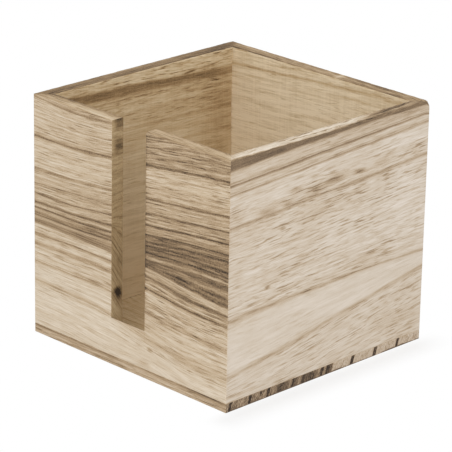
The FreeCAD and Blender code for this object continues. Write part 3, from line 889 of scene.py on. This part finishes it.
def makeBase():
    across, depths = stations([0, side], baseBoard["step"]), stations([0, baseThick], 0.8)
    cells = len(across) - 1
    (i, j, k), quads, axis, _ = blockFaces(np.ones((cells, cells, len(depths) - 1), bool))
    x, y, z = across[i], across[j], depths[k]
    skins = np.choose(axis, (2, 1, 0))

    ease = baseBoard["edgeRound"]
    size = np.array([side, side, baseThick])
    corner = np.stack([x, y, z], 1)
    core = np.clip(corner, ease, size - ease)
    offset = corner - core
    points = core + offset * (ease / np.linalg.norm(offset, axis=1))[:, None]
    uneven = waves(x + 2 * y + 5 * z, baseBoard["reliefWaves"], 61)
    relief = baseBoard["relief"] * (0.5 + 0.5 * uneven)
    for axisIndex in (0, 1):
        outward = np.sign(offset[:, axisIndex]) * (np.abs(offset[:, axisIndex]) > 0.99 * ease)
        points[:, axisIndex] -= outward * relief
    points -= (side / 2, side / 2, 0)

    ring = y - baseBoard["markLean"] * z
    down = baseThick - z
    kinds = (np.stack([x, ring, down], 1), np.stack([x, down, y], 1), np.stack([down, ring, x], 1))
    grain = np.choose(skins[:, None, None], [kind[quads] for kind in kinds])
    stainAndShade = np.where(skins[:, None] == 1, stainAndShadeAt(baseBoard["longStains"], x, down)[quads], 0)
    materials = [woodMaterial("base " + kind, baseBoard[kind + "Look"]) for kind in ("flat", "long", "end")]
    piece = meshFrom("base", points, quads, skins, grain.reshape(-1, 3),
                     np.stack([x, y, down], 1)[quads.ravel()], stainAndShade.ravel(), materials)
    sinkHeads(piece)
    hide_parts("base_board")
    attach(piece, "root")
    print("base made with", len(piece.data.polygons), "faces")


def sinkHeads(piece):
    # the holes in the underside where the heads of the brads are set in
    drills = bmesh.new()
    radius = baseBoard["headWidth"] / 2 * mm
    for turn in range(4):
        spin = Matrix.Rotation(turn * math.pi / 2, 4, "Z")
        for along in (-baseBoard["bradSpacing"] / 2, baseBoard["bradSpacing"] / 2):
            spot = Vector((along, wallThick / 2 - side / 2, 0)) * mm
            bmesh.ops.create_cone(drills, cap_ends=True, segments=24, radius1=radius, radius2=radius,
                                  depth=2 * baseBoard["headDepth"] * mm,
                                  matrix=spin @ Matrix.Translation(spot))
    mesh = bpy.data.meshes.new("drills")
    drills.to_mesh(mesh)
    drills.free()
    tool = addObject("drills", mesh)
    cut = piece.modifiers.new("heads", "BOOLEAN")
    cut.operation, cut.object, cut.solver = "DIFFERENCE", tool, "EXACT"
    bpy.context.view_layer.update()
    shapes = bpy.context.evaluated_depsgraph_get()
    finished = bpy.data.meshes.new_from_object(piece.evaluated_get(shapes), preserve_all_data_layers=True,
                                               depsgraph=shapes)
    piece.modifiers.clear()
    piece.data = finished
    bpy.data.objects.remove(tool)


steel = {"bright": fromSrgb(176, 176, 172), "dull": fromSrgb(120, 114, 106), "mottling": 1800}


def dressBrads():
    # bright drawn steel with a little dulling
    material = bpy.data.materials.new("brad steel")
    tree = emptyTree(material)
    spot = fromNode(tree, "ShaderNodeTexCoord", "Object")
    dulling = noiseOf(spot, 4, 0.6, steel["mottling"])
    tone = through("ShaderNodeMix", {0: remap(dulling, 0.35, 0.7), 6: steel["bright"], 7: steel["dull"]}, 2,
                   data_type="RGBA")
    bump = through("ShaderNodeBump", {"Height": dulling, "Strength": 0.3, "Distance": 0.05 * mm})
    surface = through("ShaderNodeBsdfPrincipled", {
        "Base Color": tone, "Metallic": 1, "Normal": bump,
        "Roughness": remap(dulling, 0.3, 0.7, 0.3, 0.55)})
    addNode(tree, "ShaderNodeOutputMaterial", {"Surface": surface})
    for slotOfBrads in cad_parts["base_brads"].material_slots:
        slotOfBrads.material = material


makeBase()
dressBrads()


# camera, floor and light

cameraView = {
    "azimuth": 44.973, "elevation": 20.290, "roll": 1.118,  # degrees
    "stand": (-1.777, -4.321, 1454.4),  # right of, above and away from the box's middle, in mm
    "lens": 220.49, "sensor": 36,
}


def makeCamera():
    turn, lift, roll = (math.radians(cameraView[name]) for name in ("azimuth", "elevation", "roll"))
    facing = Matrix.Rotation(turn, 4, "Z") @ Matrix.Rotation(math.pi / 2 - lift, 4, "X")
    facing = facing @ Matrix.Rotation(roll, 4, "Z")
    data = bpy.data.cameras.new("camera")
    data.lens, data.sensor_width = cameraView["lens"], cameraView["sensor"]
    camera = addObject("camera", data)
    middle = Matrix.Translation((0, 0, boxHeight / 2 * mm))
    camera.matrix_world = middle @ facing @ Matrix.Translation(Vector(cameraView["stand"]) * mm)
    bpy.context.scene.camera = camera


def seenDirectly(tree):
    # 1 for rays that show the background itself
    rays = addNode(tree, "ShaderNodeLightPath").outputs
    kinds = [Wire(rays[f"Is {kind} Ray"]) for kind in ("Camera", "Glossy", "Transmission")]
    return calc("MAXIMUM", calc("MAXIMUM", *kinds[:2]), kinds[2])


studio = {
    "worldLevel": 0.82, "floorTone": 0.80, "floorReach": 4, "shadowShare": 0.34,
    "shadowStart": (0.068, 0.079), "shadowFade": (0.076, 0.094), "shadowRear": (0.060, 0.090),
    "shadowFront": (-0.090, -0.076),
    "keyPlace": (1.05, -1.25, 1.15), "keySize": 0.9, "keyPower": 13,
}


def makeStudio():
    world = bpy.data.worlds.new("studio")
    tree = emptyTree(world)
    level = blend(seenDirectly(tree), studio["worldLevel"], 1)
    light = through("ShaderNodeBackground", {"Color": (1, 1, 1, 1), "Strength": level})
    addNode(tree, "ShaderNodeOutputWorld", {"Surface": light})
    bpy.context.scene.world = world

    reach = studio["floorReach"]
    mesh = bpy.data.meshes.new("floor")
    corners = [(-reach, -reach, 0), (reach, -reach, 0), (reach, reach, 0), (-reach, reach, 0)]
    mesh.from_pydata(corners, [], [(0, 1, 2, 3)])
    floor = addObject("floor", mesh)
    material = bpy.data.materials.new("pale floor")
    tree = emptyTree(material)
    tone = studio["floorTone"]
    card = fromNode(tree, "ShaderNodeBsdfDiffuse", 0, {"Color": (tone, tone, tone, 1)})
    white = fromNode(tree, "ShaderNodeEmission", 0, {"Color": (1, 1, 1, 1), "Strength": 1})
    x, y, _ = partsOf(fromNode(tree, "ShaderNodeTexCoord", "Object"))
    beside = remap(x, *studio["shadowFade"], studio["shadowShare"], 0) * remap(x, *studio["shadowStart"])
    along = remap(y, *studio["shadowRear"], 1, 0) * remap(y, *studio["shadowFront"])
    shown = seenDirectly(tree) * (1 - beside * along)
    mix = through("ShaderNodeMixShader", {0: shown, 1: card, 2: white})
    addNode(tree, "ShaderNodeOutputMaterial", {"Surface": mix})
    mesh.materials.append(material)

    data = bpy.data.lights.new("key", "AREA")
    data.size, data.energy = studio["keySize"], studio["keyPower"]
    key = addObject("key", data)
    key.location = studio["keyPlace"]
    aim = Vector((0, 0, boxHeight / 2 * mm)) - key.location
    key.rotation_euler = aim.to_track_quat("-Z", "Y").to_euler()


makeCamera()
makeStudio()
bpy.context.scene.view_settings.view_transform = "Standard"
print("camera and studio set")
